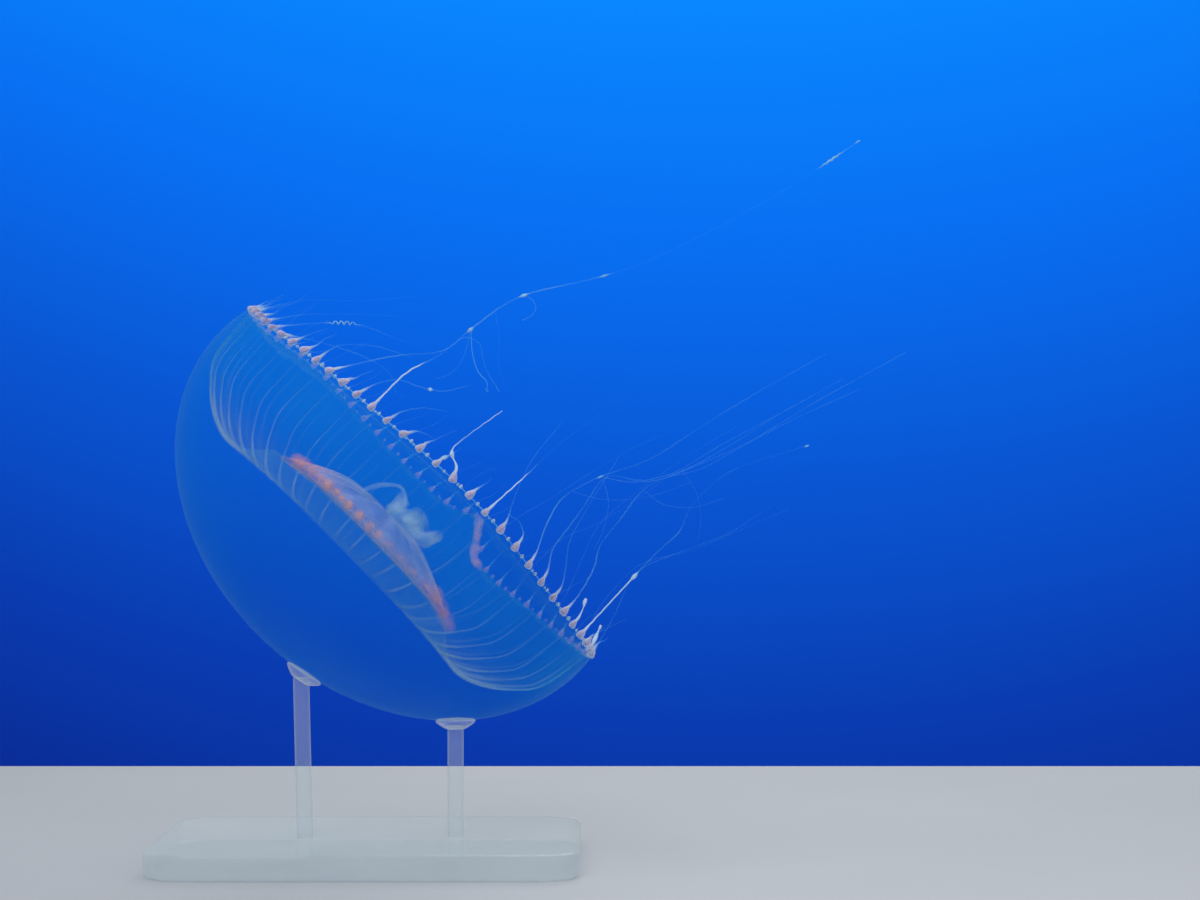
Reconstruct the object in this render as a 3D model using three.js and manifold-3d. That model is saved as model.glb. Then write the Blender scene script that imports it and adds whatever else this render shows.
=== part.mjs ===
// A crystal jelly, life size, swimming crown down with its tentacles trailing, on a plain display stand.
// Millimetres, +Z up. The origin is the centre of the underside of the stand's base.
import * as THREE from "three";
import { mergeVertices } from "three/addons/utils/BufferGeometryUtils.js";
import Module from "manifold-3d";

const wasm = await Module();
wasm.setup();

// ---------------------------------------------------------------- driving dimensions
const RIM_CENTRE = new THREE.Vector3(10, 0, 75.2);
const LEAN = THREE.MathUtils.degToRad(45.4); // the crown leans this far from straight down, towards -X
const TILT = THREE.MathUtils.degToRad(7); // and this far towards -Y
const CROWN_SHIFT = 0.035; // sideways shift of the crown, per millimetre of height

const BELL_RADIUS = 49.12;
const BELL_RISE = 38.9; // from the widest ring to the crown
const WIDEST_AT = 5; // height of the widest ring above the rim
const CAVITY_RIM = 48; // inner radius at the rim
const OUTER_STEPS = 7;

// The cavity's lining from the rim to the centre of the roof, as radius and height.
const LINING = [
  [CAVITY_RIM, 0], [46.6, 10.5], [43.2, 15.5], [38.5, 19.3], [33.5, 21.2],
  [29.5, 20.6], [26.5, 18.3], [23.8, 15.9], [12, 14.2], [0, 13.7],
];
const FAR_DROP = 4; // how much lower the shoulder of the cavity lies on the far side

const BULBS = 66; // one bulb, one tentacle and one radial canal to each
const BULBS_PER_ARC = 6;
const CANALS_PER_FAN = 11;

const MARGIN = { radius: 48.35, height: -0.85, thick: 0.5 };
const BULB_SWELL = 0.46;
const BULB_MIDDLE = 1.2;
const BULB_SPREAD = 1.1;
const BULB_NECK = 2.3;
const ROOT_THICK = 0.15; // where a bulb or a canal starts, inside the strip that carries it
const TENTACLE_BASE = 0.4; // half thickness
const TENTACLE_TIP = 0.36;
const STUB = 16; // length that stays with the margin
const LONG = 22; // a tentacle longer than this is divided
const LENGTH = 36; // longest free length
const CUT = 0.3;
const RING_SPACING = 11;
const RING_TURN = 0.4; // radians
const DEPTH = new THREE.Vector3(0, 1, 0);

const BASE = { x: 84, y: 58, z: 5, corner: 8 };
const RODS = { left: [-13, 0], right: [17, 2] };
const ROD_RADIUS = 1.6;
const PAD = { radius: 4, thick: 1.6 };
const GAP = 0.35;

// ---------------------------------------------------------------- materials
function finish(color, roughness, opacity = 1) {
  return new THREE.MeshStandardMaterial({
    color, roughness, metalness: 0, opacity, transparent: opacity < 1,
  });
}
const jelly = finish(0x9cc4d8, 0.15, 0.45);
const membrane = finish(0xb7a6cc, 0.35, 0.7);
const lips = finish(0xe6dce8, 0.4, 0.8);
const canal = finish(0xc9d8dc, 0.4, 0.8);
const bulb = finish(0xe8a48c, 0.4);
const thread = finish(0xd8e2ea, 0.4, 0.8);
const acrylic = finish(0xdfe6e8, 0.1, 0.6);

// ---------------------------------------------------------------- the frame of the bell
const CROWN = new THREE.Vector3(
  -Math.sin(LEAN) * Math.cos(TILT), -Math.sin(TILT), -Math.cos(LEAN) * Math.cos(TILT),
);
const SIDE = new THREE.Vector3(Math.cos(LEAN), 0, -Math.sin(LEAN));
const NEAR = new THREE.Vector3().crossVectors(CROWN, SIDE);

const radians = THREE.MathUtils.degToRad;
const ramp = THREE.MathUtils.smoothstep;
const hill = (x, middle, width) => Math.exp(-(((x - middle) / width) ** 2));

// A point of the bell: radius, azimuth in degrees (0 far, 90 low side, 180 near) and height above the rim.
function place(radius, azimuth, height) {
  const a = radians(azimuth);
  return RIM_CENTRE.clone()
    .addScaledVector(SIDE, radius * Math.sin(a) - CROWN_SHIFT * height)
    .addScaledVector(NEAR, -radius * Math.cos(a))
    .addScaledVector(CROWN, height);
}

// The rim's own wave, up towards the crown: a long dip on the far side that ends in a steep fold.
function rimWave(azimuth) {
  const far = THREE.MathUtils.euclideanModulo(azimuth + 180, 360) - 180;
  const near = THREE.MathUtils.euclideanModulo(azimuth, 360);
  const dip = ramp(far, -75, -40) - ramp(far, 14, 24);
  return 0.3 - 0.8 * Math.cos(radians(azimuth)) - 2.2 * hill(near, 168, 30)
    - 3.3 * dip - 3.4 * hill(far, 15, 5) + 1.1 * hill(far, 31, 10);
}

// The rim's wave fades out up the wall.
function waveAt(radius, azimuth, height) {
  return rimWave(azimuth) * (1 - ramp(height, 0, 24)) * ramp(radius, 26, 42);
}

function outside(radius, azimuth, height) {
  return place(radius, azimuth, height + waveAt(radius, azimuth, height));
}

// The same for what follows the cavity's lining, whose shoulder lies lower on the far side.
function inside(radius, azimuth, height) {
  const far = Math.max(0, Math.cos(radians(azimuth))) ** 1.5;
  const drop = FAR_DROP * far * ramp(height, 4, 16) * ramp(radius, 12, 28);
  return outside(radius, azimuth, height - drop);
}

// Azimuth of a bulb: a full turn in nearly even steps, a little closer together near and far.
function bulbAzimuth(k) {
  const u = (2 * Math.PI * k) / BULBS;
  return 254.6 - (360 * k) / BULBS + 4.2 * Math.sin(u - 0.1) + 3.1 * Math.sin(2 * u + 4.09);
}

// Azimuths half way between neighbouring bulbs, all the way round, rising.
const BETWEEN_BULBS = Array.from({ length: BULBS + 1 }, (_, i) => (
  (bulbAzimuth(BULBS - i) + bulbAzimuth(BULBS - i - 1)) / 2
));

const evenly = (count) => Array.from({ length: count + 1 }, (_, i) => (360 * i) / count);

// A repeatable number from 0 to 1.
function chance(k, n) {
  const v = Math.sin(k * 12.9898 + n * 78.233) * 43758.5453;
  return v - Math.floor(v);
}

// ---------------------------------------------------------------- solids
function moveVertices(geometry, move) {
  const position = geometry.getAttribute("position");
  const v = new THREE.Vector3();
  for (let i = 0; i < position.count; i++) {
    v.fromBufferAttribute(position, i);
    const to = move(v, i);
    position.setXYZ(i, to.x, to.y, to.z);
  }
  geometry.deleteAttribute("normal");
  geometry.deleteAttribute("uv");
  return mergeVertices(geometry, 1e-3);
}

// A form turned about the bell's axis through the azimuths given. seat sets each [radius, height] down.
function turned(points, azimuths, seat) {
  const profile = points.map(([radius, height]) => new THREE.Vector2(radius, height));
  const lathe = new THREE.LatheGeometry(profile, azimuths.length - 1);
  return moveVertices(lathe, (v, i) => {
    const j = i % points.length;
    const azimuth = azimuths[Math.floor(i / points.length)];
    return seat(points[j][0], azimuth, points[j][1], j);
  });
}

// A tube through rings of { centre, along, radius }. aside is a direction it never runs along.
function tube(rings, sides, aside) {
  const cylinder = new THREE.CylinderGeometry(1, 1, 1, sides, rings.length - 1);
  return moveVertices(cylinder, (v) => {
    const { centre, along, radius } = rings[Math.round((v.y + 0.5) * (rings.length - 1))];
    const across = along.clone().cross(aside).normalize();
    const up = across.clone().cross(along);
    return centre.clone()
      .addScaledVector(across, v.x * radius)
      .addScaledVector(up, v.z * radius);
  });
}

// Rings of one thickness through a row of points.
function ringsThrough(points, radius) {
  return points.map((centre, i) => {
    const after = points[Math.min(i + 1, points.length - 1)];
    const before = points[Math.max(i - 1, 0)];
    return { centre, along: after.clone().sub(before).normalize(), radius };
  });
}

function solid(geometry) {
  return new wasm.Manifold(new wasm.Mesh({
    numProp: 3,
    vertProperties: geometry.getAttribute("position").array,
    triVerts: new Uint32Array(geometry.index.array),
  }));
}

function joined(geometries) {
  const whole = geometries.map(solid).reduce((a, b) => a.add(b));
  const mesh = whole.getMesh();
  const geometry = new THREE.BufferGeometry();
  geometry.setAttribute("position", new THREE.BufferAttribute(mesh.vertProperties, 3));
  geometry.setIndex(new THREE.BufferAttribute(mesh.triVerts, 1));
  return geometry;
}

function named(name, geometry, material) {
  const mesh = new THREE.Mesh(geometry, material);
  mesh.name = name;
  return mesh;
}

// ---------------------------------------------------------------- bell, velum, stomach and lips
function bell() {
  const low = -Math.asin(WIDEST_AT / BELL_RISE);
  const outer = [];
  for (let i = 0; i <= OUTER_STEPS; i++) {
    const a = THREE.MathUtils.lerp(low, Math.PI / 2, i / OUTER_STEPS);
    const radius = i < OUTER_STEPS ? BELL_RADIUS * Math.cos(a) : 0;
    outer.push([radius, WIDEST_AT + BELL_RISE * Math.sin(a)]);
  }
  const lining = [...LINING].reverse();
  const seat = (radius, azimuth, height, j) => (
    j < lining.length ? inside(radius, azimuth, height) : outside(radius, azimuth, height)
  );
  return named("bell", turned([...lining, ...outer], BETWEEN_BULBS, seat), jelly);
}

function velum() {
  const section = [[42.6, 0.75], [47.3, 0.1], [47.35, 0.75], [42.7, 1.3], [42.6, 0.75]];
  return named("velum", turned(section, evenly(44), inside), jelly);
}

function stomach() {
  const section = [
    [0, 8.5], [4.5, 8.6], [11.4, 9.8], [17, 11.9], [23.4, 14.9], [22.9, 15.4], [12, 13.7], [0, 13.2],
  ];
  return named("stomach", turned(section, evenly(22), inside), membrane);
}

// The mouth hangs from the stomach's floor, a little to the low side: a short neck, frilled and dished below.
const LIPS = {
  top: 8.1, waist: 5.4, bottom: 2.6, radius: 4.3, edge: 0.8, flare: 0.7, offset: 2.6, frills: 5,
};

function mouthLips() {
  const { top, waist, bottom, radius, edge, flare, offset, frills } = LIPS;
  const section = [
    [0, waist - 0.5], [radius + flare - edge, bottom], [radius + flare, bottom],
    [radius, waist], [radius, top], [0, top],
  ];
  const seat = (r, azimuth, height) => {
    const down = (top - height) / (top - bottom);
    const frill = 1 + 0.16 * down * Math.sin(frills * radians(azimuth));
    return place(r * frill, azimuth, height).addScaledVector(SIDE, offset * down + 0.8);
  };
  return named("mouth_lips", turned(section, evenly(20), seat), lips);
}

// ---------------------------------------------------------------- radial canals
// One canal from the stomach's edge over the shoulder and down the wall, just off the lining.
const CANAL_RUN = [[24.8, 15], [29.5, 19.3], [35, 20], [43.2, 14], [46.7, 4.2]];
const CANAL_THICK = 0.36; // half thickness
const EDGE_THICK = 0.5; // of the strip that joins their roots

// Where the strip that carries bulb k passes its azimuth: half way along one straight facet.
function onFacet(radius, k, height, seat) {
  const after = seat(radius, (bulbAzimuth(k) + bulbAzimuth(k + 1)) / 2, height);
  const before = seat(radius, (bulbAzimuth(k) + bulbAzimuth(k - 1)) / 2, height);
  return { before, middle: before.clone().lerp(after, 0.5), after };
}

// A strip round the bell past bulbs first to last, in straight facets, short of the next strips.
function arc(radius, height, first, last, thick, seat) {
  const overhang = 0.66;
  const facets = [];
  for (let k = first; k <= last; k++) facets.push(onFacet(radius, k, height, seat));
  const points = facets.map(({ before }) => before);
  points[0].lerp(facets[0].middle, 1 - overhang);
  points.push(facets.at(-1).middle.clone().lerp(facets.at(-1).after, overhang));
  return tube(ringsThrough(points, thick), 4, CROWN);
}

function canalFan(index) {
  const first = index * CANALS_PER_FAN;
  const last = first + CANALS_PER_FAN - 1;
  const [radius, height] = CANAL_RUN[0];
  const pieces = [arc(radius, height, first, last, EDGE_THICK, inside)];
  for (let k = first; k <= last; k++) {
    const azimuth = bulbAzimuth(k);
    const points = CANAL_RUN.map(([r, h]) => inside(r, azimuth, h));
    const around = SIDE.clone().multiplyScalar(Math.cos(radians(azimuth)))
      .addScaledVector(NEAR, Math.sin(radians(azimuth)));
    const rings = ringsThrough(points, CANAL_THICK);
    rings[0].radius = ROOT_THICK;
    pieces.push(tube(rings, 3, around));
  }
  return named(`canals_${index + 1}`, joined(pieces), canal);
}

// ---------------------------------------------------------------- tentacles
// Routes of the tentacles that stand out, as runs of [length, heading above +X in degrees].
const ROUTES = {
  0: [[8, 14], [14, -2], [10, 5]],
  2: [[6, 10], [12, 0], [8, -3]],
  3: [[8, 5], [8, 0], [10, -22]],
  4: [[9, -12], [6, -18], [8, -29], [3, -75]],
  7: [[4, 35], [8, -2], [8, -18]],
  8: [[14, 13], [8.5, 2], [5, 39], [0.5, -20], [6.3, -83], [4.9, -58]],
  10: [[4, 28], [4.5, 12], [4.5, -22], [4, -12], [5, 15]],
  11: [[10.5, 46], [5, 24], [5, 40], [12, 37], [16, 12], [44, 27], [11, 34]],
  12: [[3, 30], [4, 10], [5, -10]],
  13: [[3, 10], [3, -30]],
  16: [[2, 72], [2.8, 118], [4.5, 38], [8, 35]],
  18: [[11, 42], [6, 44], [12, 35]],
  19: [[1.5, 55], [4, 74], [8, 66], [10, 50]],
  20: [[2.5, 52], [2.5, 105], [3, 150]],
  21: [[2, 58], [5, 73], [6, 63], [9, 28], [8, 17], [14.5, 34], [12.5, 31], [13, 29]],
  22: [[2, 60], [4, 82], [6, 52], [5, 54], [7, 59], [6, -15], [6.5, 14], [8, 33], [14, 28], [14, 29]],
  23: [[2, 50], [4, 78], [4, 85], [10, 60], [10, 58]],
  24: [[2, 45], [5.5, 57], [3.5, 64], [2, 80], [8, 50], [6, 55], [12, 21], [8, 23], [17, 32], [20, 28.5]],
  25: [[1.5, 50], [4, 72]],
  26: [[13.5, 47.5], [9.5, 47.5], [4.5, 40], [4.5, 70], [7, 45], [20, 17]],
  28: [[5, 66]],
};

// Which of the others are long: every third round the low far side.
const isLong = (k) => k > 29 && k < 44 && k % 3 === 0;

// The others start square to the rim and turn into the stream.
function route(k) {
  if (ROUTES[k]) return ROUTES[k];
  const a = radians(bulbAzimuth(k));
  const start = 38 + 28 * Math.sin(a);
  const short = Math.cos(a) > 0 ? 7 : 4;
  const length = short * (1 + chance(k, 1)) + (isLong(k) ? 24 + 30 * chance(k, 5) : 0);
  const swing = (spread, n) => spread * (chance(k, n) - 0.5);
  return [
    [0.16 * length, start + swing(14, 2)], [0.24 * length, start - 6 + swing(30, 3)],
    [0.2 * length, 30 + swing(36, 4)], [0.2 * length, 24 + swing(24, 6)], [0.2 * length, 29 + swing(30, 8)],
  ];
}

function headingAt(runs, t) {
  let end = 0;
  let before;
  for (const [length, heading] of runs) {
    const middle = end + length / 2;
    if (t <= middle) {
      if (!before) return heading;
      return THREE.MathUtils.lerp(before.heading, heading, ramp(t, before.middle, middle));
    }
    before = { middle, heading };
    end += length;
  }
  return before.heading;
}

const STEP = 0.5;
const DEPTH_SWAY = 0.14;
const SWAY_LENGTH = 7;

// Points along a tentacle about half a millimetre apart, drifting a little in depth.
function centreLine(k) {
  const runs = route(k);
  const azimuth = bulbAzimuth(k);
  const total = runs.reduce((sum, [length]) => sum + length, 0);
  const count = Math.round(total / STEP);
  const step = total / count;
  const lean = 0.1 * Math.cos(radians(azimuth)) + 0.16 * (chance(k, 7) - 0.5);
  const at = onFacet(MARGIN.radius, k, MARGIN.height, outside).middle;
  const points = [at.clone()];
  for (let i = 0; i < count; i++) {
    const t = (i + 0.5) * step;
    const heading = radians(headingAt(runs, t));
    const depth = lean + DEPTH_SWAY * Math.sin(t / SWAY_LENGTH + 6 * chance(k, 9));
    const flat = Math.sqrt(1 - depth * depth);
    at.x += step * flat * Math.cos(heading);
    at.y += step * depth;
    at.z += step * flat * Math.sin(heading);
    points.push(at.clone());
  }
  return { points, total };
}

function halfThickness(t, total) {
  const taper = THREE.MathUtils.lerp(TENTACLE_BASE, TENTACLE_TIP, t / total);
  return taper + BULB_SWELL * hill(t, BULB_MIDDLE, BULB_SPREAD);
}

// The cross-section of a tentacle at distance t from the rim.
function ringAt({ points, total }, t, radius) {
  const at = (t / total) * (points.length - 1);
  const i = Math.min(points.length - 2, Math.floor(at));
  const centre = points[i].clone().lerp(points[i + 1], at - i);
  const after = points[Math.min(i + 2, points.length - 1)];
  const along = after.clone().sub(points[Math.max(i - 1, 0)]).normalize();
  return { centre, along, radius };
}

// Distances of the rings of a stretch: one where the line has turned enough, or has run on enough.
function stops({ points, total }, from, to) {
  const found = [from];
  let last = ringAt({ points, total }, from).along;
  for (let t = from + 1; t < to - 1; t += 1) {
    const { along } = ringAt({ points, total }, t);
    if (t - found.at(-1) < RING_SPACING && along.angleTo(last) < RING_TURN) continue;
    found.push(t);
    last = along;
  }
  return [...found, to];
}

function rootOf(k) {
  const line = centreLine(k);
  const to = line.total > LONG ? STUB : line.total;
  const along = [0, BULB_MIDDLE, ...stops(line, BULB_NECK, to)];
  const rings = along.map((t) => ringAt(line, t, t ? halfThickness(t, line.total) : ROOT_THICK));
  return tube(rings, 3, DEPTH);
}

function marginArc(index) {
  const first = index * BULBS_PER_ARC;
  const last = first + BULBS_PER_ARC - 1;
  const { radius, height, thick } = MARGIN;
  const pieces = [arc(radius, height, first, last, thick, outside)];
  for (let k = first; k <= last; k++) pieces.push(rootOf(k));
  return named(`margin_${index + 1}`, joined(pieces), bulb);
}

function freeLengths(k) {
  const line = centreLine(k);
  if (line.total <= LONG) return [];
  const count = Math.ceil((line.total - STUB) / LENGTH);
  const each = (line.total - STUB) / count;
  const lengths = [];
  for (let i = 0; i < count; i++) {
    const from = STUB + i * each + CUT;
    const along = stops(line, from, from + each - CUT);
    const rings = along.map((t) => ringAt(line, t, halfThickness(t, line.total)));
    lengths.push(named(`tentacle_${k}_${i + 1}`, tube(rings, 3, DEPTH), thread));
  }
  return lengths;
}

// ---------------------------------------------------------------- display stand
function standBase() {
  const { x, y, z, corner } = BASE;
  const outline = new THREE.Shape();
  outline.moveTo(-x / 2 + corner, -y / 2);
  outline.absarc(x / 2 - corner, -y / 2 + corner, corner, -Math.PI / 2, 0);
  outline.absarc(x / 2 - corner, y / 2 - corner, corner, 0, Math.PI / 2);
  outline.absarc(-x / 2 + corner, y / 2 - corner, corner, Math.PI / 2, Math.PI);
  outline.absarc(-x / 2 + corner, -y / 2 + corner, corner, Math.PI, Math.PI * 1.5);
  const plate = new THREE.ExtrudeGeometry(outline, { depth: z, bevelEnabled: false, curveSegments: 3 });
  return named("stand_base", plate, acrylic);
}

// Is a point within the bell's outer surface?
function withinBell(point) {
  const v = point.clone().sub(RIM_CENTRE);
  const height = v.dot(CROWN);
  const across = Math.hypot(v.dot(SIDE) + CROWN_SHIFT * height, v.dot(NEAR));
  return (across / BELL_RADIUS) ** 2 + ((height - WIDEST_AT) / BELL_RISE) ** 2 < 1;
}

// The height of the bell's underside over a point of the base.
function underside(x, y) {
  const point = new THREE.Vector3(x, y, 0);
  while (!withinBell(point)) point.z += 0.02;
  return point.z;
}

// A rod with a small pad on top that lies along the bell's underside.
function standRod(side) {
  const [x, y] = RODS[side];
  const z = underside(x, y);
  const reach = 1;
  const slope = new THREE.Vector3(
    underside(x - reach, y) - underside(x + reach, y),
    underside(x, y - reach) - underside(x, y + reach),
    2 * reach,
  ).normalize();
  const pad = new THREE.CylinderGeometry(PAD.radius, PAD.radius * 0.7, PAD.thick, 12);
  const turn = new THREE.Quaternion().setFromUnitVectors(new THREE.Vector3(0, 1, 0), slope);
  const seat = new THREE.Vector3(x, y, z).addScaledVector(slope, -GAP - PAD.thick / 2);
  const placedPad = moveVertices(pad, (v) => v.clone().applyQuaternion(turn).add(seat));
  const foot = BASE.z + GAP;
  const length = seat.z - PAD.thick * 0.4 - foot;
  const rod = new THREE.CylinderGeometry(ROD_RADIUS, ROD_RADIUS, length, 12).rotateX(Math.PI / 2);
  const shaft = moveVertices(rod, (v) => v.clone().add(new THREE.Vector3(x, y, foot + length / 2)));
  return named(`stand_rod_${side}`, joined([placedPad, shaft]), acrylic);
}

// ---------------------------------------------------------------- the whole
const jellyfish = new THREE.Group();
jellyfish.name = "crystal_jelly";
jellyfish.add(bell(), velum(), stomach(), mouthLips());
for (let i = 0; i < BULBS / CANALS_PER_FAN; i++) jellyfish.add(canalFan(i));
for (let i = 0; i < BULBS / BULBS_PER_ARC; i++) jellyfish.add(marginArc(i));
for (let k = 0; k < BULBS; k++) freeLengths(k).forEach((length) => jellyfish.add(length));
jellyfish.add(standBase(), standRod("left"), standRod("right"));

export default jellyfish;
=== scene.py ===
"""A crystal jelly as a clear, life-size model, swimming crown down on a slim acrylic stand."""

import math

import bmesh
import bpy
import numpy as np
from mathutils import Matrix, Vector


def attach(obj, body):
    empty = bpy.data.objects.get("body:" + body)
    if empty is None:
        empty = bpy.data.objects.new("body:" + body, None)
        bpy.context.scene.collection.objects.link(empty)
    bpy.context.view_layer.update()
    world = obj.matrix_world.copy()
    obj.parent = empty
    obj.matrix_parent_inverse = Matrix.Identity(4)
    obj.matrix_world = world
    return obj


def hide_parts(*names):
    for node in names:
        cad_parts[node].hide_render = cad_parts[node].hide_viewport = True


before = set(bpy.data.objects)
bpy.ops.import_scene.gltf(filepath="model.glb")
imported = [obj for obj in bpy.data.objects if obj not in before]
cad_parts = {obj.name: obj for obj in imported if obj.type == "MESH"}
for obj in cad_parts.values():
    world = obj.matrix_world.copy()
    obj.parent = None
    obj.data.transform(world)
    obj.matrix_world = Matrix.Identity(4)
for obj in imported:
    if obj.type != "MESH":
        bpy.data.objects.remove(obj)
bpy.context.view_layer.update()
scene = bpy.context.scene

# Sizes are in millimetres until a mesh is made.
MM = 0.001
RIM_CENTRE = np.array([10.0, 0.0, 75.2])
LEAN = math.radians(45.4)  # the crown leans this far from straight down, towards -X
TILT = math.radians(7)  # and this far towards -Y
CROWN_SHIFT = 0.035  # sideways shift of the crown, per millimetre of height
CROWN = np.array([-math.sin(LEAN) * math.cos(TILT), -math.sin(TILT), -math.cos(LEAN) * math.cos(TILT)])
SIDE = np.array([math.cos(LEAN), 0, -math.sin(LEAN)])
NEAR = np.cross(CROWN, SIDE)

BELL_RADIUS = 49.12
BELL_RISE = 38.9  # from the widest ring to the crown
WIDEST_AT = 5  # height of the widest ring above the rim
FAR_DROP = 2.4  # how much lower the shoulder of the cavity lies on the far side
# The cavity's lining from the rim to the middle of its roof, as radius and height.
LINING = [[48, 0], [46.6, 10.5], [43.2, 15.5], [38.5, 19.3], [33.5, 21.2],
          [29.5, 20.6], [26.5, 18.3], [23.8, 15.9], [12, 14.2], [0, 13.7]]
VELUM_ROOT = 47.6
VELUM_EDGE = 42.4

BULBS = 66  # each with one tentacle and one radial canal
BULB_SIZE = np.array([1.42, 1.42, 2.2])
CORE_SHARE = [0.62, 0.62, 0.8]  # of the bulb round it
MARGIN_RADIUS = 48.35  # the strip that carries the bulbs
MARGIN_HEIGHT = -0.85
THREAD = 0.13  # half width of a tentacle past its thick root
THREAD_STEP = 0.2  # length between two points of a tentacle
WAVE_LENGTH = 2.4  # of a tentacle's loose waves
COIL_TURN = 2.2  # length that each further turn takes up in a coil
CROWDED_HIGH = (65, 0, 1, 2, 3)  # bulbs at the high end of the rim
CROWDED_LOW = (27, 28)  # and at its low end

BASE_SIZE = (84, 58, 5)
BASE_CORNER = 8
BASE_POLISH = 0.8  # radius of its edges
ROD_FEET = ((-13, 0), (17, 2))
ROD_START = 4.4  # a little below the top of the base
ROD_END = 1.3  # below the top of the pad
ROD_RADIUS = 1.6
PAD_GAP = 0.08  # from the pad to the bell
PAD_WIDTH = 8
PAD_THICK = 1.9


# ---- the frame of the bell
def ramp(x, low, high):
    """A smooth rise from 0 at low to 1 at high."""
    t = np.clip((np.asarray(x, float) - low) / (high - low), 0, 1)
    return t * t * (3 - 2 * t)


def hill(x, middle, width):
    return np.exp(-(((x - middle) / width) ** 2))


def unit(vectors):
    return vectors / np.linalg.norm(vectors, axis=-1, keepdims=True)


def together(*values):
    return np.broadcast_arrays(*(np.asarray(value, float) for value in values))


def place(radius, azimuth, height):
    """A point of the bell. Azimuth 0 is its far side, 90 the low side and 180 the near side, and height
    runs towards the crown."""
    radius, azimuth, height = together(radius, np.radians(azimuth), height)
    side = radius * np.sin(azimuth) - CROWN_SHIFT * height
    near = -radius * np.cos(azimuth)
    return RIM_CENTRE + side[..., None] * SIDE + near[..., None] * NEAR + height[..., None] * CROWN


def rim_wave(azimuth):
    """How far the rim lies up towards the crown: a long dip on the far side that ends in a steep fold, and
    on the near side a slow dip with a low rise beside it."""
    far = np.mod(azimuth + 180, 360) - 180
    near = np.mod(azimuth, 360)
    dip = ramp(far, -75, -40) - ramp(far, 14, 24)
    return (0.3 - 0.8 * np.cos(np.radians(azimuth)) - 2.2 * hill(near, 168, 30) + hill(near, 238, 16)
            - 3.3 * dip - 3.4 * hill(far, 15, 5) + 1.1 * hill(far, 31, 10))


def outside(radius, azimuth, height):
    """A point of the bell that follows the rim's wave, which fades out up the wall."""
    radius, azimuth, height = together(radius, azimuth, height)
    wave = rim_wave(azimuth) * (1 - ramp(height, 0, 24)) * ramp(radius, 26, 42)
    return place(radius, azimuth, height + wave)


def inside(radius, azimuth, height):
    """The same for what follows the cavity's lining, whose shoulder lies lower on the far side."""
    radius, azimuth, height = together(radius, azimuth, height)
    far = np.maximum(0, np.cos(np.radians(azimuth))) ** 1.5
    drop = FAR_DROP * far * ramp(height, 4, 16) * ramp(radius, 12, 28)
    return outside(radius, azimuth, height - drop)


def bulb_azimuth(k):
    """A full turn in nearly even steps, a little closer together near and far."""
    u = 2 * np.pi * np.asarray(k, float) / BULBS
    return 254.6 - 360 * np.asarray(k, float) / BULBS + 4.2 * np.sin(u - 0.1) + 3.1 * np.sin(2 * u + 4.09)


def canal_phase(azimuth):
    """0 on a radial canal, 1 on the next one, and so on round the bell."""
    k = np.linspace(-BULBS, 2 * BULBS, 3000)
    return np.interp(-azimuth, -bulb_azimuth(k), k)


def chance(k, n):
    """A repeatable number from 0 to 1."""
    v = math.sin(k * 12.9898 + n * 78.233) * 43758.5453
    return v - math.floor(v)


def smooth_run(points, count):
    """Even steps along a smooth curve through the points."""
    p = np.asarray(points, float)
    padded = np.vstack([2 * p[0] - p[1], p, 2 * p[-1] - p[-2]])
    fine = []
    for i in range(len(p) - 1):
        a, b, c, d = padded[i:i + 4]
        t = np.linspace(0, 1, 24, endpoint=False)[:, None]
        fine.append(0.5 * (2 * b + (c - a) * t + (2 * a - 5 * b + 4 * c - d) * t ** 2
                           + (3 * b - a - 3 * c + d) * t ** 3))
    fine = np.vstack(fine + [p[-1:]])
    run = np.concatenate([[0], np.cumsum(np.linalg.norm(np.diff(fine, axis=0), axis=1))])
    even = np.linspace(0, run[-1], count)
    return np.stack([np.interp(even, run, fine[:, i]) for i in range(p.shape[1])], axis=1)


# ---- meshes
def set_values(mesh, values):
    """Stores named values for each point of a mesh."""
    for name, data in values.items():
        data = np.asarray(data, float)
        kind = "FLOAT_VECTOR" if data.ndim == 2 else "FLOAT"
        slot = mesh.attributes.new(name, kind, "POINT")
        slot.data.foreach_set("vector" if data.ndim == 2 else "value", data.ravel())


def keep(name, mesh):
    piece = bpy.data.objects.new(name, mesh)
    scene.collection.objects.link(piece)
    return piece


def skin(name, grid, materials, wrap_rows=False, values=None, slots=None):
    """A smooth surface through a grid of points, closed round its columns and, if asked, round its rows."""
    rows, columns = grid.shape[:2]
    index = np.arange(rows * columns).reshape(rows, columns)
    below = np.roll(index, -1, axis=0) if wrap_rows else index[1:]
    here = index if wrap_rows else index[:-1]
    quads = np.stack([here, np.roll(here, -1, axis=1), np.roll(below, -1, axis=1), below], axis=-1)
    mesh = bpy.data.meshes.new(name)
    mesh.from_pydata(grid.reshape(-1, 3) * MM, [], quads.reshape(-1, 4).tolist())
    set_values(mesh, values or {})
    for material in materials:
        mesh.materials.append(material)
    if slots is not None:
        mesh.polygons.foreach_set("material_index", np.repeat(slots, columns).astype(np.int32))
    shape = bmesh.new()
    shape.from_mesh(mesh)
    bmesh.ops.remove_doubles(shape, verts=shape.verts, dist=1e-6)
    bmesh.ops.recalc_face_normals(shape, faces=shape.faces)
    shape.to_mesh(mesh)
    shape.free()
    mesh.shade_smooth()
    return keep(name, mesh)


def guide_lines(lines):
    """One mesh of open lines. Each is a dict of points and of values along it."""
    mesh = bpy.data.meshes.new("guide")
    points = np.vstack([line["points"] for line in lines]) * MM
    edges, start = [], 0
    for line in lines:
        count = len(line["points"])
        edges += [(i, i + 1) for i in range(start, start + count - 1)]
        start += count
    mesh.from_pydata(points, edges, [])
    names = [key for key in lines[0] if key != "points"]
    set_values(mesh, {key: np.concatenate([line[key] for line in lines]) for key in names})
    return mesh


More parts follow.
